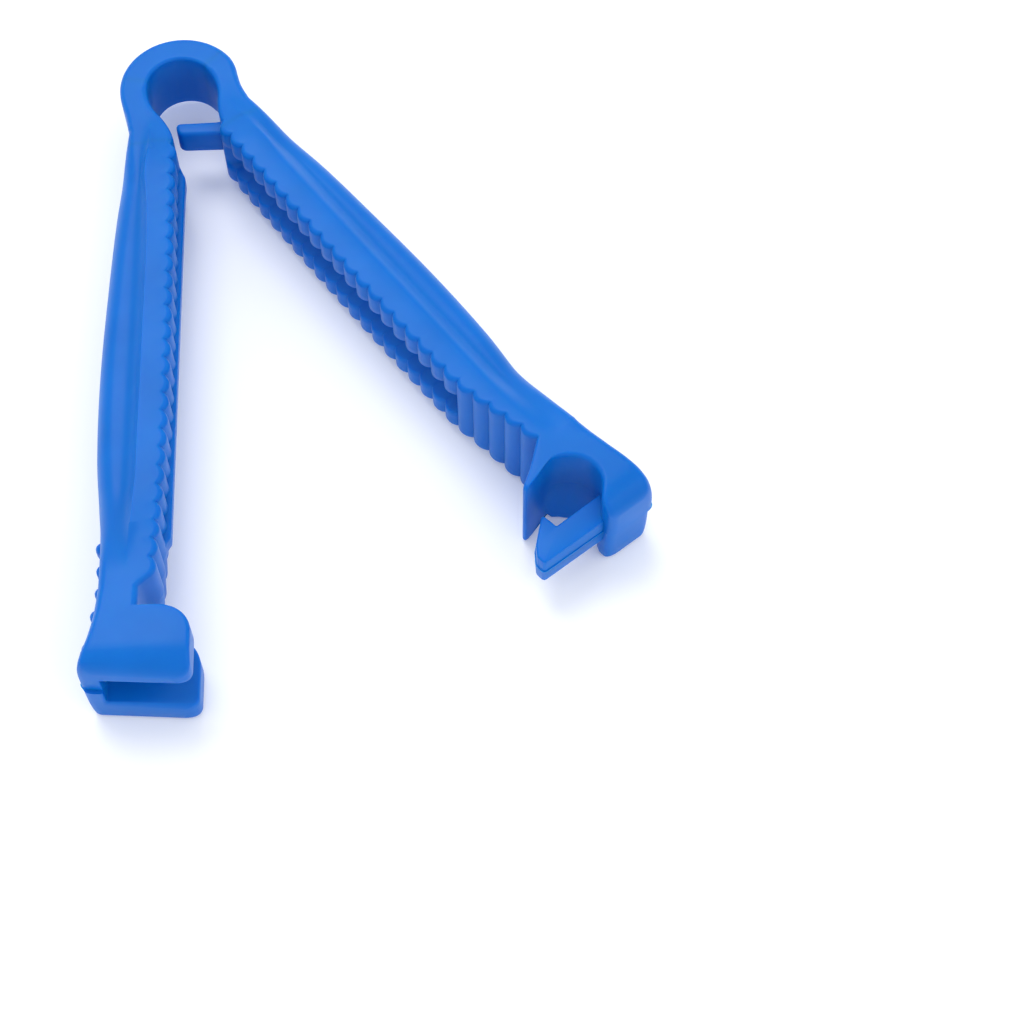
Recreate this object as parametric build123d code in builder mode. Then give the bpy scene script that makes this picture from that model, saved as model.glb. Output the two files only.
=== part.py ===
from build123d import *
from math import cos, radians, sin, sqrt
import os

# Bag clip: a sprung, toothed clamp moulded in one plastic, in its named regions.
#
# Each arm is drawn in its own plane. u runs along the arm from the centre of the
# hinge loop, and v runs across it, positive towards the other arm. Z is the hinge
# axis. The clip is modelled open, as moulded, lying on its side on z = 0.

os.makedirs("parts", exist_ok=True)

# ---- whole clip -------------------------------------------------------------
arm_length = 54.4        # loop centre to the end of an arm
open_angle = 36.0        # between the arms as moulded
thickness = 8.4          # along the hinge axis, at the pads and cheeks
jaw_width = 7.0          # the toothed flanges
spine_width = 4.4        # the narrow back of each arm
loop_width = 5.4         # the hinge loop

# ---- hinge loop -------------------------------------------------------------
loop_radius = 4.8        # outside
strap = 2.05             # wall of the loop
neck_u = 3.4             # where the strap flexes, on each side
crown_bend = 8.0         # flex of the crown as the clip closes; the necks share the rest
flex_gap = 0.36          # between pieces that flex against each other
root_u = 5.6             # where the strap has become the arm
root_back = 4.05         # back of the arm there, from the u axis
root_face = 0.9          # inner face of the arm there
root_slope = 0.45        # climb of the inner face where it reaches the teeth

# ---- arms -------------------------------------------------------------------
belly_u = 27.0           # fullest point of the spine
belly_back = 5.1
back_slope = -0.12       # slope of the back where it leaves the root
pad_length = 14.4        # thumb pad, measured from the end of the arm
pad_back = 4.6           # back of the arm where the pad starts
pad_full_length = 4.9    # stretch of the pad that is at full thickness
waist_length = 9.4       # hollow of the thumb pad, from the end
waist_back = 4.55
crest_length = 1.5       # raised end of the thumb pad, from the end
crest_back = 5.8
crest_slope = -0.05
crest_drop = 1.5         # from the crest down to the start of the end face
crest_fullness = 1.25    # 1 would round the end to a quarter circle
flange_back = 2.6        # step between the flange and the spine
taper = 3.2              # run over which a width changes

# ---- teeth ------------------------------------------------------------------
tooth_pitch = 1.6
tooth_height = 0.6
tooth_start_u = 5.7
tooth_stop = 3.25        # left free between the last tooth and the catch box, about
tooth_clearance = 0.06   # between the meshed jaws when the clip is latched
row_depth = 1.1          # from the valleys down to the jaw
catch_valley = -0.2      # height of the catch arm's tooth valleys
channel_width = 2.6      # groove between the hook arm's two tooth rows
tongue_width = 1.8       # rib of the catch arm that lies in the groove
tongue_height = 1.1      # above the catch arm's valleys
tongue_gap = 0.2         # from the tongue to the tooth row beside it
end_tooth_count = 5      # full-width teeth next to the latch, on the hook arm
end_tooth_drop = 0.28    # each stands this much lower than the last

# ---- latch ------------------------------------------------------------------
box_length = 5.45        # catch box, at the end of the catch arm
cheek_top = 2.85
cheek_wall = 2.5
cheek_round = 2.0        # corner on the hinge side
cheek_end_round = 0.5    # corner at the end of the arm
web_face = 4.2           # floor of the catch slot, from the u axis
ledge_length = 2.2
ledge_underside = -0.3
ledge_top = 2.0
latch_clearance = 0.2    # round the hook, inside the catch box
seat_clearance = 0.1     # between the faces that meet when the clip is latched
prong_wall = 1.9
barb_reach = 1.25
barb_height = 2.6        # from the barb's flat to the nose
barb_rake = 0.1          # rise of the flat out to its tip
barb_lip = 0.4           # height of the blunt tip
barb_lip_rake = 0.15
nose_drop = 0.2          # of the nose's sloping top
pocket_depth = 0.6       # of the hollow beside the hook, below the flange
side_tooth_wall = 0.85
side_tooth_land = 0.28   # flat on its tip
dimple_radius = 0.6
dimple_depth = 0.2
dimple_rise = 0.9        # of its centre above the floor of the slot

# ---- thumb ribs -------------------------------------------------------------
rib_count = 5
rib_pitch = 2.25
rib_set = 3.1            # first rib, from the end of the arm
rib_first_length = 5.8
rib_last_length = 1.6
rib_radius = 0.5
rib_height = 0.3

# ---- guard finger -----------------------------------------------------------
finger_width = 1.3
finger_depth = 2.4       # along the hinge axis
finger_length = 3.6
finger_u = 4.55
finger_lean = 35.0       # from square to the arm, towards the loop

# ---- derived ----------------------------------------------------------------
mid_z = thickness / 2
loop_bore = loop_radius - strap
strap_mid = loop_radius - strap / 2
half_sweep = (180 - open_angle) / 2      # of the loop's arc, on each side
neck_bend = (open_angle - crown_bend) / 2
hook_heading = -90 + open_angle
pad_u = arm_length - pad_length
pad_full_u = arm_length - pad_full_length
waist_u = arm_length - waist_length
crest_u = arm_length - crest_length
rib_first_u = arm_length - rib_set
box_u = arm_length - box_length
slot_width = thickness - 2 * cheek_wall
hook_thickness = slot_width - 2 * latch_clearance
prong_u = box_u + ledge_length + latch_clearance
tooth_count = round((box_u - tooth_stop - tooth_start_u) / tooth_pitch)
tooth_end_u = tooth_start_u + tooth_count * tooth_pitch
end_teeth_u = tooth_end_u - end_tooth_count * tooth_pitch

catch_plane = Plane(origin=(0, 0, mid_z), x_dir=(0, -1, 0), z_dir=(0, 0, 1))
hook_plane = Plane(
    origin=(0, 0, mid_z),
    x_dir=(cos(radians(hook_heading)), sin(radians(hook_heading)), 0),
    z_dir=(0, 0, -1),
)
arms = {"catch": catch_plane, "hook": hook_plane}


def height_at(edge, u):
    """Height of a curve that runs along the arm, at a station on it."""
    low, high = 0.0, 1.0
    for _ in range(30):
        middle = (low + high) / 2
        if (edge @ middle).X < u:
            low = middle
        else:
            high = middle
    return (edge @ low).Y


# ---- the strap's two edges, from the loop to the root, and the arm's back ----
with BuildLine() as strap_back_line:
    Spline((0, -loop_radius), (root_u, -root_back), tangents=[(1, 0), (1, 0)])
with BuildLine() as strap_face_line:
    Spline((0, -loop_bore), (root_u, -root_face), tangents=[(1, 0), (1, root_slope)])
with BuildLine() as back_line:
    Spline(
        (root_u, -root_back),
        (belly_u, -belly_back),
        (pad_u, -pad_back),
        (waist_u, -waist_back),
        (crest_u, -crest_back),
        tangents=[(1, back_slope), (1, crest_slope)],
    )
strap_back = strap_back_line.edges()[0]
strap_face = strap_face_line.edges()[0]
back_edge = back_line.edges()[0]
neck_v = (height_at(strap_back, neck_u) + height_at(strap_face, neck_u)) / 2


def turned(point, pivot, angle):
    """A plan point after the clip closes by an angle at one flexing line."""
    arm = (point - pivot).rotate(Axis.Z, -angle)
    return pivot + arm


def closed_gap():
    """Distance between the two arms' u axes once the clip is latched."""
    crown_angle = radians(90 + open_angle / 2)
    bends = [
        (hook_plane.from_local_coords(Vector(neck_u, neck_v, -mid_z)), neck_bend),
        (Vector(strap_mid * cos(crown_angle), strap_mid * sin(crown_angle)), crown_bend),
        (catch_plane.from_local_coords(Vector(neck_u, neck_v, -mid_z)), neck_bend),
    ]
    centre = Vector(0, 0, 0)
    for pivot, angle in bends:
        centre = turned(centre, Vector(pivot.X, pivot.Y, 0), angle)
    return centre.X


jaw_gap = closed_gap()
lobe_radius = ((tooth_pitch / 2) ** 2 + tooth_height ** 2) / (2 * tooth_height)
mesh_depth = 2 * (sqrt(lobe_radius ** 2 - (tooth_pitch / 4) ** 2) - lobe_radius + tooth_height)
hook_valley = jaw_gap - mesh_depth - tooth_clearance - catch_valley
valley_of = {"catch": catch_valley, "hook": hook_valley}
seat_v = jaw_gap - cheek_top - seat_clearance            # under the cheeks
side_tooth_tip = jaw_gap - catch_valley + row_depth - seat_clearance
flat_v = jaw_gap - ledge_underside + latch_clearance     # the barb's holding face
nose_v = flat_v + barb_height
print("jaw gap", round(jaw_gap, 3), "hook valley", round(hook_valley, 3))
for side, plane in arms.items():
    pivot = plane.from_local_coords(Vector(neck_u, neck_v, 0))
    print(side, "neck pivot", round(pivot.X, 4), round(pivot.Y, 4))


def strap_outline():
    """Half of the loop and its leg, out to the root of the arm."""
    crown_angle = -90 - half_sweep
    with BuildLine() as outline:
        outer = CenterArc((0, 0), loop_radius, crown_angle, half_sweep)
        inner = CenterArc((0, 0), loop_bore, crown_angle, half_sweep)
        add(strap_back)
        add(strap_face)
        Line(strap_back @ 1, strap_face @ 1)
        Line(outer @ 0, inner @ 0)
    return outline.line


def back_outline():
    """The whole back of an arm, closed along the step to its flange."""
    with BuildLine() as outline:
        add(back_edge)
        end_radius = crest_fullness * max(crest_length, crest_drop)
        end = RadiusArc(back_edge @ 1, (arm_length, crest_drop - crest_back), -end_radius)
        Polyline(
            end @ 1,
            (arm_length, -flange_back),
            (root_u, -flange_back),
            back_edge @ 0,
        )
    return outline.line


def width_outline(stations):
    """Symmetrical outline in u and Z from (u, full width) stations."""
    upper = [(u, width / 2) for u, width in stations]
    lower = [(u, -width / 2) for u, width in reversed(stations)]
    with BuildLine() as outline:
        Polyline(*upper, *lower, close=True)
    return outline.line


def side_plane(plane):
    """Plane through an arm's u axis and Z, facing across the arm."""
    return Plane(origin=plane.origin, x_dir=plane.x_dir, z_dir=plane.y_dir)


def tooth_outline(start_u, count, valley, base, drop=0.0):
    """Scalloped line of round lobes with sharp valleys, closed along its base."""
    end_u = start_u + count * tooth_pitch
    with BuildLine() as outline:
        for i in range(count):
            first = (start_u + i * tooth_pitch, valley - i * drop)
            last = (first[0] + tooth_pitch, first[1] - drop)
            RadiusArc(first, last, lobe_radius)
        Polyline(
            (end_u, valley - count * drop),
            (end_u, base),
            (start_u, base),
            (start_u, valley),
        )
    return outline.line


def save(part, name):
    part.label = name
    export_step(part, f"parts/{name}.step")


# ---- hinge loop, one half on each side of the crown -------------------------
for side, plane in arms.items():
    with BuildPart() as loop_half:
        with BuildSketch(plane):
            make_face(strap_outline())
        extrude(amount=loop_width / 2, both=True)
        with Locations(plane.location):
            with Locations((neck_u + root_u / 2 - flex_gap / 2, -root_back, 0)):
                Box(root_u, 2 * loop_radius, 2 * thickness, mode=Mode.SUBTRACT)
            with Locations(Location((0, 0, 0), (0, 0, -90 - half_sweep))):
                Box(3 * loop_radius, flex_gap, 2 * thickness, mode=Mode.SUBTRACT)
    save(loop_half.part, f"{side}_loop_half")

    with BuildPart() as root:
        with BuildSketch(plane):
            make_face(strap_outline())
        extrude(amount=loop_width / 2, both=True)
        with Locations(plane.location):
            with Locations((neck_u - loop_radius + flex_gap / 2, -loop_radius / 2, 0)):
                Box(2 * loop_radius, 3 * loop_radius, 2 * thickness, mode=Mode.SUBTRACT)
    save(root.part, f"{side}_root")

# ---- spines, jaws and thumb pads --------------------------------------------
spine_stations = [
    (root_u, loop_width),
    (root_u + taper, spine_width),
    (pad_u, spine_width),
]
jaw_stations = [
    (root_u, loop_width),
    (root_u + taper, jaw_width),
    (pad_u, jaw_width),
    (tooth_end_u, thickness),
    (box_u, thickness),
]
pad_stations = [
    (pad_u, spine_width),
    (pad_full_u, thickness),
    (arm_length, thickness),
]
for side, plane in arms.items():
    with BuildPart() as spine:
        with BuildSketch(plane):
            make_face(back_outline())
        extrude(amount=thickness, both=True)
        with BuildSketch(side_plane(plane)):
            make_face(width_outline(spine_stations))
        extrude(amount=2 * loop_radius, both=True, mode=Mode.INTERSECT)
    save(spine.part, f"{side}_spine")

    row_base = valley_of[side] - row_depth
    jaw_end = box_u if side == "catch" else end_teeth_u
    with BuildPart() as jaw:
        with BuildSketch(plane):
            with BuildLine():
                Polyline(
                    (root_u, -flange_back),
                    (jaw_end, -flange_back),
                    (jaw_end, row_base),
                    (root_u, row_base),
                    close=True,
                )
            make_face()
        extrude(amount=thickness, both=True)
        with BuildSketch(side_plane(plane)):
            make_face(width_outline(jaw_stations))
        extrude(amount=2 * loop_radius, both=True, mode=Mode.INTERSECT)
    save(jaw.part, f"{side}_jaw")

for side, plane in arms.items():
    with BuildPart() as pad:
        with BuildSketch(plane):
            make_face(back_outline())
            if side == "hook":
                with Locations(((prong_u + arm_length) / 2, (seat_v - flange_back) / 2)):
                    Rectangle(arm_length - prong_u, seat_v + flange_back)
        extrude(amount=thickness, both=True)
        with BuildSketch(side_plane(plane)):
            make_face(width_outline(pad_stations))
        extrude(amount=2 * loop_radius, both=True, mode=Mode.INTERSECT)
        with BuildSketch(plane):
            if side == "catch":
                with Locations((arm_length, -web_face)):
                    Rectangle(
                        2 * box_length,
                        web_face,
                        align=(Align.CENTER, Align.MIN),
                    )
            else:
                with Locations(((box_u + prong_u) / 2, -flange_back)):
                    Ellipse((prong_u - box_u) / 2, pocket_depth)
        extrude(amount=thickness, both=True, mode=Mode.SUBTRACT)
        for i in range(rib_count):
            rib_u = rib_first_u - i * rib_pitch
            rib_v = height_at(back_edge, rib_u) + rib_radius - rib_height
            shorter = i / (rib_count - 1)
            rib_length = rib_first_length + shorter * (rib_last_length - rib_first_length)
            shank = rib_length - 2 * rib_radius
            with Locations(plane.location):
                with Locations((rib_u, rib_v, 0)):
                    Cylinder(rib_radius, shank)
                with Locations((rib_u, rib_v, shank / 2), (rib_u, rib_v, -shank / 2)):
                    Sphere(rib_radius)
    save(pad.part, f"{side}_thumb_pad")

# ---- tooth rows, one above and one below the middle of each jaw -------------
row_inset = {"catch": tongue_width / 2 + tongue_gap, "hook": channel_width / 2}
row_start = {"catch": tooth_start_u + tooth_pitch / 2, "hook": tooth_start_u}
row_count = {"catch": tooth_count - 1, "hook": tooth_count - end_tooth_count}
for side, plane in arms.items():
    valley = valley_of[side]
    for level, up in (("upper", 1), ("lower", -1)):
        row_plane = Plane(
            origin=(0, 0, mid_z + up * row_inset[side]),
            x_dir=plane.x_dir,
            z_dir=plane.z_dir,
        )
        with BuildPart() as row:
            with BuildSketch(row_plane):
                make_face(
                    tooth_outline(row_start[side], row_count[side], valley, valley - row_depth)
                )
            extrude(amount=thickness, dir=(0, 0, up))
            with BuildSketch(side_plane(plane)):
                make_face(width_outline(jaw_stations))
            extrude(amount=2 * loop_radius, both=True, mode=Mode.INTERSECT)
        save(row.part, f"{side}_teeth_{level}")

with BuildPart() as end_teeth:
    with BuildSketch(hook_plane):
        make_face(
            tooth_outline(end_teeth_u, end_tooth_count, hook_valley, -flange_back, end_tooth_drop)
        )
    extrude(amount=thickness, both=True)
    with BuildSketch(side_plane(hook_plane)):
        make_face(width_outline(jaw_stations))
    extrude(amount=2 * loop_radius, both=True, mode=Mode.INTERSECT)
save(end_teeth.part, "hook_end_teeth")

# ---- catch arm's tongue, which lies in the other arm's channel when shut ----
tongue_start_u = tooth_start_u + tooth_pitch / 2
tongue_end_u = end_teeth_u - tooth_pitch
with BuildPart() as tongue:
    with Locations(catch_plane.location):
        with Locations(((tongue_start_u + tongue_end_u) / 2, catch_valley - row_depth, 0)):
            Box(
                tongue_end_u - tongue_start_u,
                row_depth + tongue_height,
                tongue_width,
                align=(Align.CENTER, Align.MIN, Align.CENTER),
            )
    fillet(tongue.faces().sort_by(Axis.X)[-1].edges(), tongue_width / 4)
save(tongue.part, "catch_tongue")

# ---- catch box: two cheeks, open at the end, with a ledge between them ------
for level, up in (("upper", 1), ("lower", -1)):
    with BuildPart() as cheek:
        with BuildSketch(Plane(origin=(0, 0, mid_z + up * slot_width / 2), x_dir=(0, -1, 0))):
            with Locations((box_u + box_length / 2, (cheek_top - web_face) / 2)):
                outline = Rectangle(box_length, cheek_top + web_face)
            top_corners = outline.vertices().group_by(Axis.Y)[-1].sort_by(Axis.X)
            fillet(top_corners[0], cheek_round)
            fillet(top_corners[1], cheek_end_round)
        extrude(amount=cheek_wall, dir=(0, 0, up))
        if level == "lower":
            with Locations(catch_plane.location):
                with Locations((box_u + cheek_round, dimple_rise - web_face, -mid_z)):
                    Cylinder(dimple_radius, 2 * dimple_depth, mode=Mode.SUBTRACT)
    save(cheek.part, f"catch_cheek_{level}")

with BuildPart() as ledge:
    with Locations(catch_plane.location):
        with Locations((box_u, ledge_underside, 0)):
            Box(
                ledge_length,
                ledge_top - ledge_underside,
                slot_width,
                align=(Align.MIN, Align.MIN, Align.CENTER),
            )
save(ledge.part, "catch_ledge")

# ---- hook arm's side tooth, which shuts the gap beside the catch box --------
end_valley = hook_valley - end_tooth_count * end_tooth_drop
back_u = box_u - latch_clearance
with BuildPart() as side_tooth:
    with BuildSketch(hook_plane):
        with BuildLine():
            Polyline(
                (box_u, -flange_back),
                (tooth_end_u, -flange_back),
                (tooth_end_u, end_valley),
                (back_u - side_tooth_land, side_tooth_tip),
                (back_u, side_tooth_tip - side_tooth_wall),
            )
            ThreePointArc(
                (back_u, side_tooth_tip - side_tooth_wall),
                (back_u - side_tooth_wall, (side_tooth_tip - flange_back) / 2),
                (box_u, -flange_back),
            )
        make_face()
    extrude(amount=mid_z, both=True)
save(side_tooth.part, "hook_side_tooth")

# ---- barbed latch hook, at the middle of the thickness ----------------------
with BuildPart() as latch_hook:
    with BuildSketch(hook_plane):
        with BuildLine():
            Polyline(
                (prong_u, seat_v),
                (prong_u, flat_v),
                (prong_u - barb_reach, flat_v + barb_rake),
                (prong_u - barb_reach + barb_lip_rake, flat_v + barb_rake + barb_lip),
                (prong_u + prong_wall / 2, nose_v - nose_drop),
                (prong_u + prong_wall, nose_v),
                (prong_u + prong_wall, seat_v),
                close=True,
            )
        make_face()
    extrude(amount=hook_thickness / 2, both=True)
save(latch_hook.part, "latch_hook")

# ---- guard finger across the throat of the loop -----------------------------
with BuildPart() as finger:
    with BuildSketch(hook_plane):
        with Locations(Location((finger_u, -root_face, 0), (0, 0, 90 + finger_lean))):
            SlotOverall(2 * finger_length, finger_width)
        make_face(strap_outline(), mode=Mode.SUBTRACT)
        with Locations((finger_u, -root_face - finger_length)):
            Rectangle(4 * finger_length, 2 * finger_length, mode=Mode.SUBTRACT)
    extrude(amount=finger_depth / 2, both=True)
save(finger.part, "guard_finger")
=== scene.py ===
from math import cos, pi, radians, sin, sqrt, tan

import bmesh
import bpy
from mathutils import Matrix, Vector


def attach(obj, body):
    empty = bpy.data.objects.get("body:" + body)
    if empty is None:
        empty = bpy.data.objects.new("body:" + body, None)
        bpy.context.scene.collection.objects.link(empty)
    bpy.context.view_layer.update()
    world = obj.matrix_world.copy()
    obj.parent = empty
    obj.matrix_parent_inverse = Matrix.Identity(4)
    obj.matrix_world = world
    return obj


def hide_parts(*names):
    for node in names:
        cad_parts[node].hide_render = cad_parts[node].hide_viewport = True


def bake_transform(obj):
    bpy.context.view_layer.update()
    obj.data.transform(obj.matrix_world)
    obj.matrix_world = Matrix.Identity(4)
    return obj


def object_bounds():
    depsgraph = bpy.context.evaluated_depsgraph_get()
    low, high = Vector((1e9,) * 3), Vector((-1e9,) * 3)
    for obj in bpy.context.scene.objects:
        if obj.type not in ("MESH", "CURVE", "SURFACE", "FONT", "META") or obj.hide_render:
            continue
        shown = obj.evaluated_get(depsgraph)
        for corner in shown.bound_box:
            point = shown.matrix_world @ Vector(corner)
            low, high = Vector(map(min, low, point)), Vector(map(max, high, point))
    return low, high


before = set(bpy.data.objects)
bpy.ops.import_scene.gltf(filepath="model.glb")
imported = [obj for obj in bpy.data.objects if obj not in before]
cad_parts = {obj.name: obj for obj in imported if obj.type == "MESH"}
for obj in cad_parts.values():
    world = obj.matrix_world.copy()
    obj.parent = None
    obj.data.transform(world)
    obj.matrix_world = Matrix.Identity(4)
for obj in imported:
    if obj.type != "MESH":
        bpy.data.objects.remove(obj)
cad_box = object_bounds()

MM = 0.001
MID_Z = (cad_box[0].z + cad_box[1].z) / 2

# ---- sizes of the clip, in millimetres -----------------------------------------
# u runs along an arm from the loop's centre, v across it towards the other arm,
# w is the height over the middle of the thickness.
OPEN_ANGLE = 36.0

# the loop: outer and inner radius, and half its height
LOOP_R, LOOP_BORE, LOOP_HALF = 5.05, 2.75, 2.85
# degrees of the round part that belong to each neck, and where a neck meets its arm
SEAM_ARC, SEAM_U = 10, 6.05
# outer and inner side of the strap between the loop's arc and the root
STRAP_BACK = {"catch": [(-1.0, -4.94), (0.0, -5.05), (1.0, -4.96), (2.0, -4.72), (3.0, -4.42),
                        (4.5, -4.15)],
              "hook": [(-1.0, -4.94), (0.0, -5.05), (1.0, -4.86), (2.0, -4.45), (3.0, -4.08),
                       (4.5, -3.82)]}
STRAP_FACE = [(-1.0, -2.56), (0.0, -2.75), (1.2, -2.62), (2.4, -2.12), (3.1, -1.62),
              (3.9, -1.1), (4.8, -0.66), (5.7, -0.36)]

# half heights of the toothed flange, the spine behind it and the thumb pads
FLANGE_HALF, SPINE_HALF, PAD_HALF = 3.5, 2.4, 4.2
# v where the flange steps down to the spine, and half the width of that step
FLANGE_UNDERSIDE, HOLLOW = {"catch": -2.85, "hook": -2.6}, 0.85
# back of an arm, from the root to the crest of its thumb pad
ARM_BACK = [(14.0, -5.12), (20.0, -5.4), (27.5, -5.62), (34.5, -5.5), (39.0, -5.1)]
BACK = {"catch": [(4.5, -4.05), (5.9, -4.25), (8.0, -4.55), (11.0, -4.9)] + ARM_BACK
                 + [(42.0, -4.65), (44.5, -4.38), (47.0, -4.32), (49.0, -4.6), (51.0, -5.1),
                    (52.2, -5.52), (53.0, -5.75)],
        "hook": [(4.5, -3.82), (5.9, -4.05), (8.0, -4.4), (11.0, -4.82)] + ARM_BACK
                + [(42.0, -4.96), (44.5, -4.88), (47.0, -5.08), (49.0, -5.53), (51.0, -6.0),
                   (52.2, -6.16), (53.0, -6.2)]}
# how each half height and rounding changes along an arm
FLANGE = [(2.0, LOOP_HALF), (9.5, FLANGE_HALF), (38.0, FLANGE_HALF), (46.0, PAD_HALF)]
SPINE = [(6.0, LOOP_HALF), (11.0, SPINE_HALF), (38.0, SPINE_HALF), (46.8, PAD_HALF)]
BACK_ROUND = [(4.0, 0.5), (10.0, 1.5), (38.0, 1.5), (46.0, 0.7), (52.5, 0.75)]
BACK_CURL = [(4.0, 0.5), (10.0, 2.1), (38.0, 2.1), (46.0, 1.0), (52.5, 2.6)]

# teeth: pitch and height, where the first one starts, and the line of their valleys
PITCH, TOOTH, TOOTH_STEPS = 1.6, 0.37, 10
FIRST_TOOTH = {"catch": 6.5, "hook": 5.7}
VALLEY = {"catch": [(6.5, -0.42), (24.0, -0.15), (34.0, -0.15), (46.5, -0.45)],
          "hook": [(5.7, -0.12), (21.0, 0.13), (31.0, 0.13), (38.0, 0.0)]}
# rounding along a row's edges, and how far the catch arm's lower row lies behind the upper
ROW_EDGE, LOWER_ROW_DROP = 0.45, 0.5
# the catch arm's rows with the tongue between them, and where the tongue rises and ends
CATCH_TEETH = 25
TONGUE_HALF, TONGUE_TOP = 0.9, 0.4
TONGUE_RISE = [(7.0, 0), (8.2, 1), (41.5, 1), (42.5, 0)]
# the hook arm's rows with the channel between them, then its full-width end teeth
CHANNEL_HALF, CHANNEL_FLOOR, CHANNEL_END = 1.3, -1.02, 37.7
CHANNEL_RISE = [(6.2, 0), (7.6, 1)]
END_TEETH, END_DROP = 5, 0.28

# the recess before the catch box, which takes the other arm's side tooth
RECESS, RECESS_GAP = -1.3, 1.2
RECESS_STEPS = [(0.3, -0.85), (0.5, -1.05), (0.75, RECESS)]
# the catch box: its front, the cheeks with their rounded corner, and the slot
BOX_U, CHEEK_TOP, CHEEK_ROUND, CHEEK_STEPS = 48.85, 2.55, 2.1, 12
CHEEK_STATIONS = (51.6, 52.2, 52.8)
SLOT_HALF, SLOT_FLOOR, BOX_EDGE = 1.7, -4.2, 0.32
# the hook arm's side tooth and pocket: points of the toothed side in plan, each with
# its place along the back
POCKET_PATH = [((45.75, -1.38), 45.75), ((46.3, -0.7), 45.83), ((46.9, 0.0), 45.91),
               ((47.5, 0.76), 45.99), ((48.0, 1.48), 46.07), ((48.32, 1.97), 46.14),
               ((48.42, 2.08), 46.2), ((48.52, 2.12), 46.26), ((48.63, 2.11), 46.32),
               ((48.71, 2.03), 46.38), ((48.72, 1.9), 46.44), ((48.6, 1.45), 46.52),
               ((48.38, 0.85), 46.62), ((48.13, 0.25), 46.74), ((47.95, -0.3), 46.88),
               ((47.86, -0.85), 47.06), ((47.92, -1.4), 47.3), ((48.15, -1.95), 47.65),
               ((48.55, -2.45), 48.15), ((49.05, -2.88), 48.75), ((49.65, -3.16), 49.45),
               ((50.3, -3.26), 50.3), ((50.95, -3.18), 51.0), ((51.6, -2.9), 51.6),
               ((52.2, -2.4), 52.1), ((52.7, -1.95), 52.5), ((53.2, -1.75), 53.0)]
POCKET_GAP, POCKET_EDGE = 1.2, 0.4
# how far the lower half of the pocket's wall stands proud, and where along the back
POCKET_SHELF = 1.25
SHELF_RISE = [(46.8, 0.0), (47.7, 1.0), (49.5, 1.0), (51.5, 0.0)]

# where each arm ends on its toothed side and at its back, and where its end begins
ARM_END = {"catch": (54.1, 53.5), "hook": (54.15, 54.15)}
CATCH_END_U, CATCH_END_ROUND, HOOK_END_ROUND = 53.0, 0.85, 0.5
CREST_U, CREST_DROP = 53.0, 0.5
END_STEPS, END_INSET = 14, 0.3
# how far the top and the underside of an arm's end are rounded, and from where on
END_ROUND, END_ROUND_LOW, END_ROUND_U = 1.75, 0.4, 52.0

# the parting line of the mould: half its height, and how far it stands out
PARTING, FLASH = 0.03, 0.1
# the lower mould half at the pads: how far its back is drawn in, how much of its
# rounding that takes away, and how far its end is set back
DRAFT = [(49.0, 0.0), (53.0, 1.0)]
DRAFT_IN, DRAFT_SHARPER = 0.14, 0.6
DRAFT_END = {"catch": -0.32, "hook": 0.16}

# thumb ribs: place along the arm, length across it, and how far each stands out
PAD_RIBS = [(51.3, 5.2, 0.3), (48.6, 4.6, 0.55), (46.5, 3.6, 0.62), (44.4, 2.6, 0.62),
            (42.3, 1.7, 0.62)]
RIB_RADIUS, RIB_SIDES, RIB_STEPS = 0.5, 16, 6

# the least distance between two ribs of a loft where its outline steps
NUDGE = 0.01
# half height of the flat middle of the loop's face, and where along the neck it has
# widened to that of the arm's tongue or channel
STRAP_GAP, STRAP_GAP_U = 0.7, 5.5


# ---- small helpers ---------------------------------------------------------------
def ramp(keys, u):
    """Value at u of a line through the keys, eased where it changes."""
    if u <= keys[0][0]:
        return keys[0][1]
    for (u0, a), (u1, b) in zip(keys, keys[1:]):
        if u <= u1:
            t = (u - u0) / (u1 - u0)
            return a + (b - a) * t * t * (3 - 2 * t)
    return keys[-1][1]


def curve(keys, u):
    """Value at u of a smooth curve through the keys."""
    n = len(keys)
    i = max(0, min(n - 2, sum(1 for k in keys[1:-1] if k[0] <= u)))
    (u0, a), (u1, b) = keys[i], keys[i + 1]
    before = keys[i - 1] if i else keys[i]
    after = keys[i + 2] if i + 2 < n else keys[i + 1]
    run = u1 - u0
    m0 = (b - before[1]) / (u1 - before[0]) * run
    m1 = (after[1] - a) / (after[0] - u0) * run
    t = (u - u0) / run
    return ((2 * t**3 - 3 * t**2 + 1) * a + (t**3 - 2 * t**2 + t) * m0
            + (3 * t**2 - 2 * t**3) * b + (t**3 - t**2) * m1)


def quarter(steps):
    """Angles from 0 to a right angle, both ends included."""
    return [k / steps * pi / 2 for k in range(steps + 1)]


def arm_point(side, u, v, w):
    """A point of one arm, in the frame of the whole clip, in metres."""
    heading = radians(-90 if side == "catch" else -90 + OPEN_ANGLE)
    along = Vector((cos(heading), sin(heading), 0))
    turn = pi / 2 if side == "catch" else -pi / 2
    across = Vector((cos(heading + turn), sin(heading + turn), 0))
    return (along * u + across * v) * MM + Vector((0, 0, MID_Z + w * MM))


# ---- lofts through cross-sections --------------------------------------------------
def rib(top, back, **sizes):
    """One cross-section: its two ends in plan, and its sizes. See half_section."""
    made = {"top": Vector(top), "back": Vector(back), "flange": LOOP_HALF, "spine": LOOP_HALF,
            "step": None, "crisp": False, "gap": STRAP_GAP, "floor": None, "edge": 0.3,
            "round": 0.5, "curl": 0.5, "inset": 0.0, "draft": 0.0, "narrow": (0.0, 0.0),
            "drop": 0.0}
    made.update(sizes)
    return made


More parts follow.
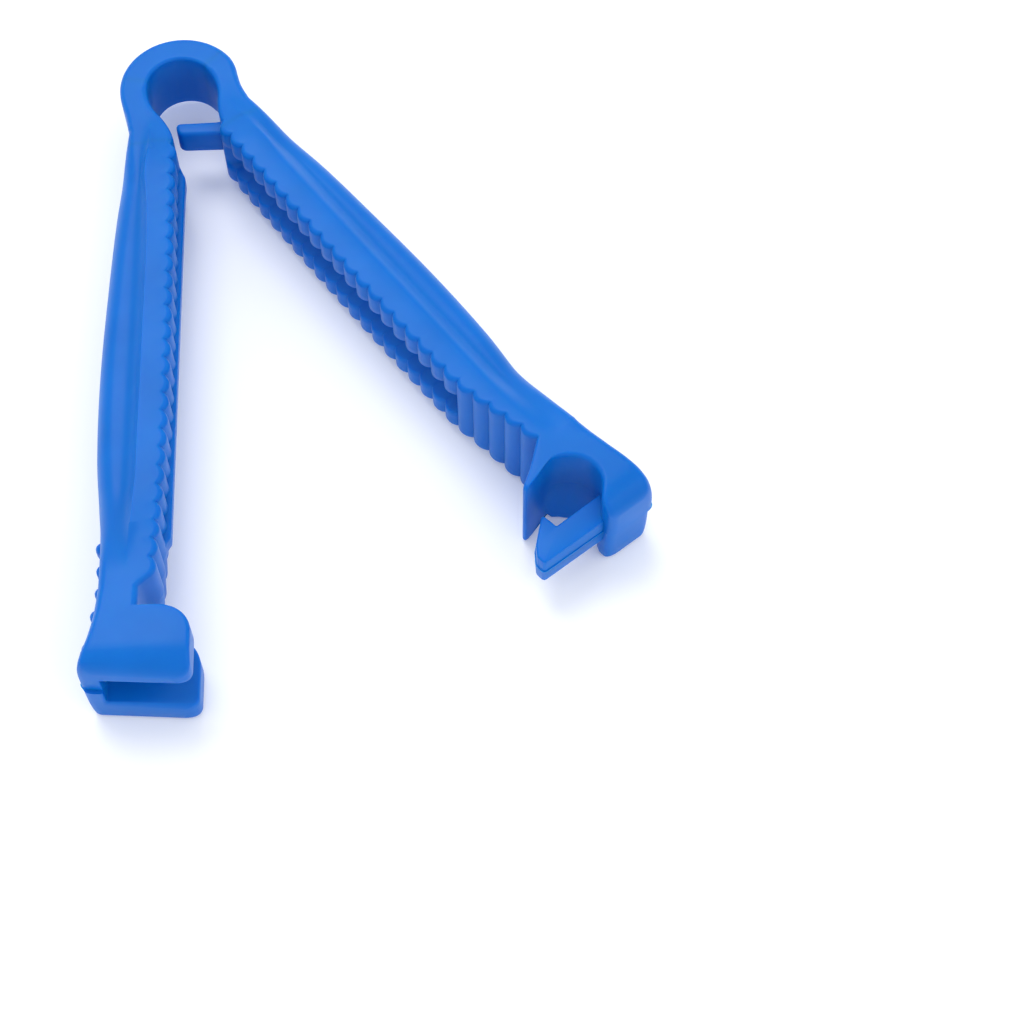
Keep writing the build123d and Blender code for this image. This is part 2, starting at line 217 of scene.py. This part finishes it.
def half_section(r, lower=False):
    """Points (share of the way from top to back, half height) from the middle of the
    toothed face round to the middle of the back: the groove or tongue, the row, the
    flange with its rounded edges, the hollow beside the spine, and the round back."""
    run = (r["back"] - r["top"]).length
    inset = r["inset"]

    def level(v):
        return (r["top"].y - v) / (r["top"].y - r["back"].y) * run

    narrow = r["narrow"][1 if lower else 0]
    flange = r["flange"] - narrow
    spine = min(r["spine"] - narrow, flange)

    # the groove or tongue, whose floor is level with the face where there is neither
    face = inset
    floor, gap = face, r["gap"]
    if r["floor"] is not None:
        floor = level(r["floor"]) + inset * (1.0 if lower else 0.3)
        gap += inset * (2.0 if lower else 0.3)
    wall, greatest_corner, least_corner = 0.1, 0.12, 0.05
    corner = min(greatest_corner, abs(floor - face) / 2)
    down = 1 if floor > face else -1
    points = [(floor, 0), (floor, PARTING), (floor, gap * 0.5), (floor, gap - wall - corner),
              (floor - down * corner, gap - wall), (face + max(down, 0) * corner, gap),
              (face, gap + max(corner, least_corner))]

    # the face of the row, and its rounded edge
    edge = min(r["edge"], (flange - gap) * 0.42)
    start, stop = gap + 0.15, flange - edge
    points += [(face, start + (stop - start) * k / 3) for k in (1, 2)]
    points += [(face + edge * (1 - cos(a)), flange - edge * (1 - sin(a))) for a in quarter(6)]
    if lower and r["drop"]:
        points = [(d + r["drop"] * min(1.0, w / flange), w) for d, w in points]

    # the flange's side, and the step down to the spine
    back = run - inset
    turn = r["round"]
    if lower:
        back -= DRAFT_IN * r["draft"]
        turn *= 1 - DRAFT_SHARPER * r["draft"]
    curl = min(r["curl"], spine)
    under = run / 2
    if r["step"] is not None:
        under = max(level(r["step"]), face + edge + HOLLOW + 0.1)
    slope = min(HOLLOW, under - face - edge, back - turn - under)
    points.append((face + edge + (under - slope - face - edge) * 0.5, flange))
    step_points = 10
    for k in range(step_points):
        t = k / (step_points - 1)
        fall = 1 - (1 - t) ** 2.8 if r["crisp"] else t * t * (3 - 2 * t)
        points.append((under + slope * (2 * t - 1), flange - (flange - spine) * fall))

    # the spine's side and its round back, out to the parting line
    side = back - turn
    points.append((under + slope + (side - under - slope) * 0.5, spine))
    points += [(side + turn * sin(a), spine - curl * (1 - cos(a))) for a in quarter(8)]
    flat = spine - curl
    points += [(back, flat * 0.5), (back, PARTING), (back + FLASH * r["draft"], 0)]
    return [(d / run, w) for d, w in points]


def loft(name, side, ribs):
    """A closed skin through the ribs, as one new object."""
    mesh = bpy.data.meshes.new(name)
    bm = bmesh.new()
    rings = []
    for r in ribs:
        ring = []
        for q, w in half_section(r):
            p = r["top"].lerp(r["back"], q)
            ring.append(bm.verts.new(arm_point(side, p.x, p.y, w)))
        half = len(ring)
        for q, w in reversed(half_section(r, lower=True)[1:-1]):
            p = r["top"].lerp(r["back"], q)
            ring.append(bm.verts.new(arm_point(side, p.x - DRAFT_END[side] * r["draft"], p.y, -w)))
        rings.append(ring)
    join_rings(bm, rings)
    for ring in (rings[0], rings[-1]):
        bm.faces.new(ring[:half])
        bm.faces.new((ring[half - 1], ring[half], ring[-1], ring[0]))
        bm.faces.new(ring[half:])
    return finish_mesh(name, mesh, bm, triangles=True)


def join_rings(bm, rings):
    """Faces between each ring of points and the next."""
    count = len(rings[0])
    for a, b in zip(rings, rings[1:]):
        for i in range(count):
            j = (i + 1) % count
            bm.faces.new((a[i], a[j], b[j], b[i]))


def finish_mesh(name, mesh, bm, sharp=50, triangles=False):
    """A new object of the mesh: clean, shaded smooth, and creased over the sharp angle."""
    bmesh.ops.remove_doubles(bm, verts=bm.verts, dist=0.000002)
    bmesh.ops.dissolve_degenerate(bm, edges=bm.edges, dist=0.000001)
    if triangles:
        bmesh.ops.triangulate(bm, faces=bm.faces)
    bmesh.ops.recalc_face_normals(bm, faces=bm.faces)
    bm.to_mesh(mesh)
    bm.free()
    mesh.shade_smooth()
    mesh.set_sharp_from_angle(angle=radians(sharp))
    piece = bpy.data.objects.new(name, mesh)
    bpy.context.scene.collection.objects.link(piece)
    return piece


# ---- the arms ---------------------------------------------------------------------
def back_v(side, u, w=0.0):
    """Back of an arm: its middle line, or its rounded side at a height off the middle."""
    half, curl = ramp(SPINE, u), ramp(BACK_CURL, u)
    over = min(1.0, max(0.0, (abs(w) - half + curl) / curl))
    return curve(BACK[side], u) + ramp(BACK_ROUND, u) * (1 - sqrt(1 - over * over))


def valley_v(side, u):
    """The line through the valleys between an arm's teeth."""
    return curve(VALLEY[side], u)


def lobe(t):
    """Height of a round tooth over its valleys, t from 0 to 1 along it."""
    radius = ((PITCH / 2) ** 2 + TOOTH**2) / (2 * TOOTH)
    return sqrt(radius**2 - ((t - 0.5) * PITCH) ** 2) - radius + TOOTH


def arm_rib(side, top, back=None, **sizes):
    """A rib of an arm whose sizes follow its place along the arm."""
    back = back or (top[0], back_v(side, top[0]))
    u = (top[0] + back[0]) / 2
    made = dict(flange=ramp(FLANGE, u), spine=ramp(SPINE, u), step=FLANGE_UNDERSIDE[side],
                crisp=side == "catch", edge=ROW_EDGE, round=ramp(BACK_ROUND, u),
                curl=ramp(BACK_CURL, u), draft=ramp(DRAFT, u))
    end = sum(ARM_END[side]) / 2
    past = min(1.0, max(0.0, (u - END_ROUND_U) / (end - END_ROUND_U)))
    fall = 1 - sqrt(1 - past * past)
    made["narrow"] = (END_ROUND * fall, END_ROUND_LOW * fall)
    made.update(sizes)
    return rib(top, back, **made)


def face_v(side, u):
    """Toothed face: the strap's inner side, then the teeth."""
    first = FIRST_TOOTH[side]
    if u >= first:
        i = int((u - first) / PITCH + 1e-6)
        return valley_v(side, u) + lobe((u - first) / PITCH - i)
    strap_u, strap_v = STRAP_FACE[-1]
    if u <= strap_u:
        return curve(STRAP_FACE, u)
    t = (u - strap_u) / (first - strap_u)
    return strap_v + (valley_v(side, first) - strap_v) * t


def toothed_ribs(side, count, start_u, drop=0.0, **sizes):
    """The ribs of a row of teeth, each tooth lower than the last by the drop."""
    ribs = []
    for i in range(count):
        for k in range(TOOTH_STEPS):
            t = k / TOOTH_STEPS
            u = start_u + (i + t) * PITCH
            if u > SEAM_U + 0.1:
                v = valley_v(side, min(u, VALLEY[side][-1][0])) - (i + t) * drop + lobe(t)
                ribs.append(arm_rib(side, (u, v), **sizes))
    return ribs


def end_ribs(side, top_from, top_round, sizes):
    """The rounded end of an arm: both ends of the rib turn into the end face."""
    ribs = []
    top_end, back_end = ARM_END[side]
    for a in quarter(END_STEPS)[1:]:
        back = (CREST_U + (back_end - CREST_U) * sin(a),
                back_v(side, CREST_U) + CREST_DROP * (1 - cos(a)))
        top_u = top_from[0] + (top_end - top_from[0]) * sin(a)
        rise = max(0.0, top_u - (top_end - top_round)) / top_round
        top = (top_u, top_from[1] - top_round * (1 - sqrt(max(0.0, 1 - rise * rise))))
        slip = max(0.0, 1 - (top_end - top_u) / END_INSET)
        inset = END_INSET * (1 - sqrt(max(0.0, 1 - slip * slip)))
        ribs.append(arm_rib(side, top, back, inset=inset, **sizes))
    return ribs


def catch_ribs():
    """The catch arm: toothed rows and tongue, recess, slotted box and rounded end."""
    side = "catch"
    ribs = [arm_rib(side, (u, face_v(side, u)), gap=TONGUE_HALF) for u in (SEAM_U, SEAM_U + 0.2)]
    for r in toothed_ribs(side, CATCH_TEETH, FIRST_TOOTH[side], gap=TONGUE_HALF):
        u, top = r["top"]
        share = ramp(TONGUE_RISE, u)
        if share > 0:
            r["floor"] = top + (TONGUE_TOP - top) * share
        r["drop"] = LOWER_ROW_DROP * ramp([(6.5, 0.0), (10.0, 1.0)], u)
        ribs.append(r)

    end = FIRST_TOOTH[side] + CATCH_TEETH * PITCH
    ribs.append(arm_rib(side, (end, valley_v(side, end)), gap=1.0))
    for on, v in RECESS_STEPS:
        ribs.append(arm_rib(side, (end + on, v), gap=RECESS_GAP))
    ribs.append(arm_rib(side, (BOX_U, RECESS), gap=SLOT_HALF))

    box = dict(gap=SLOT_HALF, floor=SLOT_FLOOR, edge=BOX_EDGE)
    corner_v = CHEEK_TOP - CHEEK_ROUND
    ribs.append(arm_rib(side, (BOX_U + 2 * NUDGE, RECESS + 0.05), **box))
    ribs.append(arm_rib(side, (BOX_U + 3 * NUDGE, corner_v - 0.3), **box))
    for a in quarter(CHEEK_STEPS):
        u = BOX_U + 4 * NUDGE + CHEEK_ROUND * (1 - cos(a))
        ribs.append(arm_rib(side, (u, CHEEK_TOP - CHEEK_ROUND * (1 - sin(a))), **box))
    for u in CHEEK_STATIONS:
        ribs.append(arm_rib(side, (u, CHEEK_TOP), **box))
    return ribs + end_ribs(side, (CATCH_END_U, CHEEK_TOP), CATCH_END_ROUND, box)


def hook_ribs():
    """The hook arm: toothed rows and channel, end teeth, side tooth, pocket and end."""
    side = "hook"
    ribs = [arm_rib(side, (SEAM_U, face_v(side, SEAM_U)), gap=CHANNEL_HALF)]
    rows = round((CHANNEL_END - FIRST_TOOTH[side]) / PITCH)
    for r in toothed_ribs(side, rows, FIRST_TOOTH[side], gap=CHANNEL_HALF):
        u, top = r["top"]
        share = ramp(CHANNEL_RISE, u)
        if share > 0:
            r["floor"] = top + (CHANNEL_FLOOR - top) * share
        ribs.append(r)
    last = (CHANNEL_END - 2 * NUDGE, valley_v(side, CHANNEL_END) + 3 * NUDGE)
    ribs.append(arm_rib(side, last, gap=CHANNEL_HALF, floor=CHANNEL_FLOOR))
    ribs += toothed_ribs(side, END_TEETH, CHANNEL_END, END_DROP, gap=CHANNEL_HALF)

    pocket = dict(gap=POCKET_GAP, edge=POCKET_EDGE)
    for top, back_u in POCKET_PATH:
        back = (back_u, back_v(side, back_u))
        drop = -POCKET_SHELF * ramp(SHELF_RISE, back_u)
        ribs.append(arm_rib(side, top, back, drop=drop, **pocket))
    return ribs + end_ribs(side, POCKET_PATH[-1][0], HOOK_END_ROUND, pocket)


# ---- the loop -----------------------------------------------------------------------
def neck_ribs(side):
    """The strap from the loop's arc to the seam with the arm."""
    ribs = []
    arm_gap = TONGUE_HALF if side == "catch" else CHANNEL_HALF
    for u in [0.2 * k for k in range(1, 31)] + [SEAM_U]:
        back = curve(STRAP_BACK[side], u) if u < STRAP_BACK[side][-1][0] else back_v(side, u)
        gap = arm_gap
        if u <= STRAP_GAP_U:
            gap = STRAP_GAP + (arm_gap - STRAP_GAP) * u / STRAP_GAP_U
        ribs.append(arm_rib(side, (u, face_v(side, u)), (u, back), gap=gap))
    return ribs


def arc_ribs(from_deg, to_deg):
    """The round part of the loop on one arm's side, in degrees round from its u = 0."""
    ribs = []
    turn = to_deg - from_deg
    degrees_each, sliver = 3, 0.3
    steps = max(2, round(abs(turn) / degrees_each))
    angles = [0, sliver] + [turn * k / steps for k in range(1, steps)] + [turn - sliver, turn]
    for a in angles:
        t = radians(from_deg + a)
        out = Vector((-sin(t), -cos(t)))
        ribs.append(rib(out * LOOP_BORE, out * LOOP_R))
    return ribs


everything = []


def add_piece(piece, nodes):
    """Puts a finished piece in place of the CAD nodes that it shows."""
    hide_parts(*nodes)
    everything.append(piece)
    return piece


for side in ("catch", "hook"):
    ribs = list(reversed(arc_ribs(0, SEAM_ARC))) + neck_ribs(side)
    neck = loft(f"{side}_neck", side, ribs)
    add_piece(neck, [f"{side}_root"])
    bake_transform(neck)

sweep = 180 - OPEN_ANGLE
crown = loft("loop_crown", "catch", arc_ribs(SEAM_ARC, sweep - SEAM_ARC))
add_piece(crown, ["catch_loop_half", "hook_loop_half"])
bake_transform(crown)

catch_arm = loft("catch_arm_body", "catch", catch_ribs())
add_piece(catch_arm, ["catch_spine", "catch_jaw", "catch_teeth_upper", "catch_teeth_lower",
                      "catch_tongue", "catch_thumb_pad", "catch_cheek_upper", "catch_cheek_lower"])
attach(catch_arm, "catch_arm")
hook_arm = loft("hook_arm_body", "hook", hook_ribs())
add_piece(hook_arm, ["hook_spine", "hook_jaw", "hook_teeth_upper", "hook_teeth_lower",
                     "hook_end_teeth", "hook_thumb_pad", "hook_side_tooth"])
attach(hook_arm, "hook_arm")


# ---- the latch hook, the ledge and the guard finger -----------------------------------
# plan outlines, anticlockwise: (u, v, radius of the corner)
PRONG = [(51.3, -3.4, 0), (53.35, -3.4, 0), (53.35, 4.0, 0.35), (52.5, 4.05, 0.4),
         (51.6, 3.45, 0.5), (49.85, 1.45, 0.24), (51.35, 1.2, 0.1)]
LEDGE = [(49.0, -0.3, 0), (51.15, -0.3, 0), (51.15, 1.9, 0.7), (49.0, 1.9, 0.9)]
FINGER = [(4.1, -1.3, 0), (5.75, -1.3, 0), (5.32, -0.5, 0.3), (3.05, 2.6, 0.62),
          (1.9, 2.05, 0.36), (3.85, -0.75, 0.3)]
# half height, rounding of the edges, and parting line
PRONG_HALF, PRONG_EDGE, PRONG_FLASH = 1.5, 0.18, 0.05
FINGER_HALF, FINGER_EDGE, FINGER_FLASH = 1.2, 0.34, 0.0
LEDGE_HALF = 1.75


def rounded(corners):
    """A closed plan outline through (u, v, radius) corners, each with its own arc."""
    outline = []
    count = len(corners)
    for i, (u, v, radius) in enumerate(corners):
        p = Vector((u, v))
        back = (Vector(corners[i - 1][:2]) - p).normalized()
        on = (Vector(corners[(i + 1) % count][:2]) - p).normalized()
        if radius <= 0:
            outline.append(p)
            continue
        half = back.angle(on) / 2
        reach = radius / tan(half)
        centre = p + (back + on).normalized() * radius / sin(half)
        first, last = p + back * reach - centre, p + on * reach - centre
        for k in range(7):
            outline.append(centre + first.slerp(last, k / 6).normalized() * radius)
    return outline


def grown(outline, by):
    """The outline with every point moved out by the given distance."""
    made = []
    count = len(outline)
    for i, p in enumerate(outline):
        a = p - outline[i - 1]
        b = outline[(i + 1) % count] - p
        way = a.normalized() + b.normalized()
        made.append(p + Vector((way.y, -way.x)).normalized() * by)
    return made


def blade(name, side, outline, layers):
    """A plan outline, anticlockwise, lofted through (height, growth) layers."""
    mesh = bpy.data.meshes.new(name)
    bm = bmesh.new()
    rings = []
    for w, by in layers:
        rings.append([bm.verts.new(arm_point(side, p.x, p.y, w)) for p in grown(outline, by)])
    join_rings(bm, rings)
    bm.faces.new(rings[0])
    bm.faces.new(reversed(rings[-1]))
    return finish_mesh(name, mesh, bm, sharp=40)


def round_layers(half, edge, flash):
    """Layers of a blade with rounded edges and a parting line in the middle."""
    angles = quarter(5)
    layers = [(-half + edge * (1 - cos(a)), -edge * (1 - sin(a))) for a in angles]
    layers += [(-0.06, 0.0), (0.0, flash), (0.02, -flash)]
    for a in [(1 - k / 5) * pi / 2 for k in range(6)]:
        layers.append((half - edge * (1 - cos(a)), -flash - edge * (1 - sin(a))))
    return layers


hook = blade("latch_hook_prong", "hook", rounded(PRONG),
             round_layers(PRONG_HALF, PRONG_EDGE, PRONG_FLASH))
add_piece(hook, ["latch_hook"])
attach(hook, "hook_arm")

ledge = blade("catch_ledge_bar", "catch", rounded(LEDGE), [(-LEDGE_HALF, 0), (LEDGE_HALF, 0)])
add_piece(ledge, ["catch_ledge"])
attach(ledge, "catch_arm")

finger = blade("guard_finger_blade", "hook", rounded(FINGER),
               round_layers(FINGER_HALF, FINGER_EDGE, FINGER_FLASH))
add_piece(finger, ["guard_finger"])
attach(finger, "hook_arm")


# ---- the ribs on the thumb pads -------------------------------------------------------
def thumb_ribs(side):
    """Five round-ended ribs across a thumb pad, each shorter than the last."""
    name = f"{side}_pad_ribs"
    mesh = bpy.data.meshes.new(name)
    bm = bmesh.new()
    for u, length, proud in PAD_RIBS:
        half = length / 2 - RIB_RADIUS
        cap = [(-half - RIB_RADIUS * cos(a), sin(a)) for a in quarter(RIB_STEPS)]
        stations = cap + [(half * k / RIB_STEPS, 1.0) for k in range(1 - RIB_STEPS, RIB_STEPS)]
        stations += [(-w, size) for w, size in reversed(cap)]
        rings = []
        for w, size in stations:
            size = RIB_RADIUS * max(size, 0.05)
            v = back_v(side, u, w) + RIB_RADIUS - proud
            ring = []
            for j in range(RIB_SIDES):
                b = j / RIB_SIDES * 2 * pi
                ring.append(bm.verts.new(arm_point(side, u + size * cos(b), v + size * sin(b), w)))
            rings.append(ring)
        join_rings(bm, rings)
        bm.faces.new(rings[0])
        bm.faces.new(reversed(rings[-1]))
    piece = finish_mesh(name, mesh, bm, sharp=60)
    everything.append(piece)
    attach(piece, f"{side}_arm")


for side in ("catch", "hook"):
    thumb_ribs(side)


# ---- blue moulded plastic -----------------------------------------------------------
DEEP_BLUE, LIGHT_BLUE = (0.0, 0.132, 0.52, 1), (0.001, 0.156, 0.59, 1)


def plastic():
    """Moulded plastic: a faint mottle in colour and gloss, a fine grain and flow marks."""
    material = bpy.data.materials.new("clip_plastic")
    material.use_nodes = True
    nodes, links = material.node_tree.nodes, material.node_tree.links
    shader = nodes["Principled BSDF"]
    shader.inputs["IOR"].default_value = 1.49
    shader.inputs["Specular IOR Level"].default_value = 0.16
    shader.inputs["Subsurface Weight"].default_value = 0.35
    shader.inputs["Subsurface Radius"].default_value = (0.05, 0.35, 1.0)
    shader.inputs["Subsurface Scale"].default_value = 0.0012
    coord = nodes.new("ShaderNodeTexCoord")

    def noise(scale, detail, roughness=0.5):
        n = nodes.new("ShaderNodeTexNoise")
        n.inputs["Scale"].default_value = scale
        n.inputs["Detail"].default_value = detail
        n.inputs["Roughness"].default_value = roughness
        links.new(coord.outputs["Object"], n.inputs["Vector"])
        return n.outputs["Fac"]

    mottle = nodes.new("ShaderNodeValToRGB")
    mottle.color_ramp.elements[0].position = 0.3
    mottle.color_ramp.elements[0].color = DEEP_BLUE
    mottle.color_ramp.elements[1].position = 0.7
    mottle.color_ramp.elements[1].color = LIGHT_BLUE
    links.new(noise(140, 3), mottle.inputs["Fac"])
    links.new(mottle.outputs["Color"], shader.inputs["Base Color"])

    gloss = nodes.new("ShaderNodeMapRange")
    gloss.inputs["To Min"].default_value = 0.3
    gloss.inputs["To Max"].default_value = 0.42
    links.new(noise(420, 4), gloss.inputs["Value"])
    links.new(gloss.outputs["Result"], shader.inputs["Roughness"])

    grain = nodes.new("ShaderNodeBump")
    grain.inputs["Strength"].default_value = 0.12
    grain.inputs["Distance"].default_value = 0.00003
    links.new(noise(2600, 3, 0.6), grain.inputs["Height"])
    flow = nodes.new("ShaderNodeBump")
    flow.inputs["Strength"].default_value = 0.2
    flow.inputs["Distance"].default_value = 0.00012
    links.new(noise(260, 2), flow.inputs["Height"])
    links.new(grain.outputs["Normal"], flow.inputs["Normal"])
    links.new(flow.outputs["Normal"], shader.inputs["Normal"])
    return material


clip_plastic = plastic()
for piece in everything:
    piece.data.materials.append(clip_plastic)


# ---- floor, light and camera ------------------------------------------------------------
# half the side of the floor, and how far it lies under the clip, in metres
FLOOR_HALF, FLOOR_DROP = 1.5, 0.00001
# the photograph's camera: where it stands and looks, in millimetres, and its lens
CAMERA_PLACE, CAMERA_AIM, LENS = (22.73, -115.17, 142.36), (26.07, -37.94, 0), 73.1


def floor_material():
    """Pale paper that glows a little, so that it reads as white as the photograph's."""
    material = bpy.data.materials.new("paper")
    material.use_nodes = True
    nodes, links = material.node_tree.nodes, material.node_tree.links
    shader = nodes["Principled BSDF"]
    shader.inputs["Roughness"].default_value = 0.9
    shader.inputs["Specular IOR Level"].default_value = 0.1
    shader.inputs["Emission Color"].default_value = (0.97, 0.98, 1.0, 1)
    shader.inputs["Emission Strength"].default_value = 0.12
    coord = nodes.new("ShaderNodeTexCoord")
    noise = nodes.new("ShaderNodeTexNoise")
    noise.inputs["Scale"].default_value = 30
    links.new(coord.outputs["Object"], noise.inputs["Vector"])
    tone = nodes.new("ShaderNodeValToRGB")
    tone.color_ramp.elements[0].color = (0.90, 0.91, 0.94, 1)
    tone.color_ramp.elements[1].color = (0.93, 0.935, 0.955, 1)
    links.new(noise.outputs["Fac"], tone.inputs["Fac"])
    links.new(tone.outputs["Color"], shader.inputs["Base Color"])
    return material


def make_floor():
    """A plain square just under the clip."""
    mesh = bpy.data.meshes.new("floor")
    corners = [(-1, -1), (1, -1), (1, 1), (-1, 1)]
    mesh.from_pydata([(x * FLOOR_HALF, y * FLOOR_HALF, -FLOOR_DROP) for x, y in corners],
                     [], [(0, 1, 2, 3)])
    piece = bpy.data.objects.new("floor", mesh)
    mesh.materials.append(floor_material())
    bpy.context.scene.collection.objects.link(piece)


def area_light(name, place, aim, size, power):
    """A round soft light, in metres and watts."""
    data = bpy.data.lights.new(name, "AREA")
    data.shape = "DISK"
    data.size = size
    data.energy = power
    lamp = bpy.data.objects.new(name, data)
    lamp.location = place
    lamp.rotation_mode = "QUATERNION"
    lamp.rotation_quaternion = (Vector(aim) - Vector(place)).to_track_quat("-Z", "Y")
    bpy.context.scene.collection.objects.link(lamp)


def make_world():
    """Even, slightly cool light from all round."""
    world = bpy.data.worlds.new("studio")
    world.use_nodes = True
    sky = world.node_tree.nodes["Background"]
    sky.inputs["Color"].default_value = (0.93, 0.96, 1.0, 1)
    sky.inputs["Strength"].default_value = 0.92
    bpy.context.scene.world = world


def make_camera():
    """The camera, where the photograph was taken from."""
    data = bpy.data.cameras.new("camera")
    data.sensor_width = 36
    data.lens = LENS
    data.clip_start = 0.01
    data.clip_end = 10
    camera = bpy.data.objects.new("camera", data)
    camera.location = Vector(CAMERA_PLACE) * MM
    camera.rotation_mode = "QUATERNION"
    way = Vector(CAMERA_AIM) * MM - camera.location
    camera.rotation_quaternion = way.to_track_quat("-Z", "Y")
    bpy.context.scene.collection.objects.link(camera)
    bpy.context.scene.camera = camera


make_floor()
clip_middle = ((cad_box[0] + cad_box[1]) / 2)[:]
area_light("key", (-0.15, 0.35, 0.75), clip_middle, 0.5, 2.6)
area_light("fill", (0.5, -0.35, 0.5), clip_middle, 0.6, 0.8)
make_world()
make_camera()
bpy.context.scene.view_settings.view_transform = "Standard"
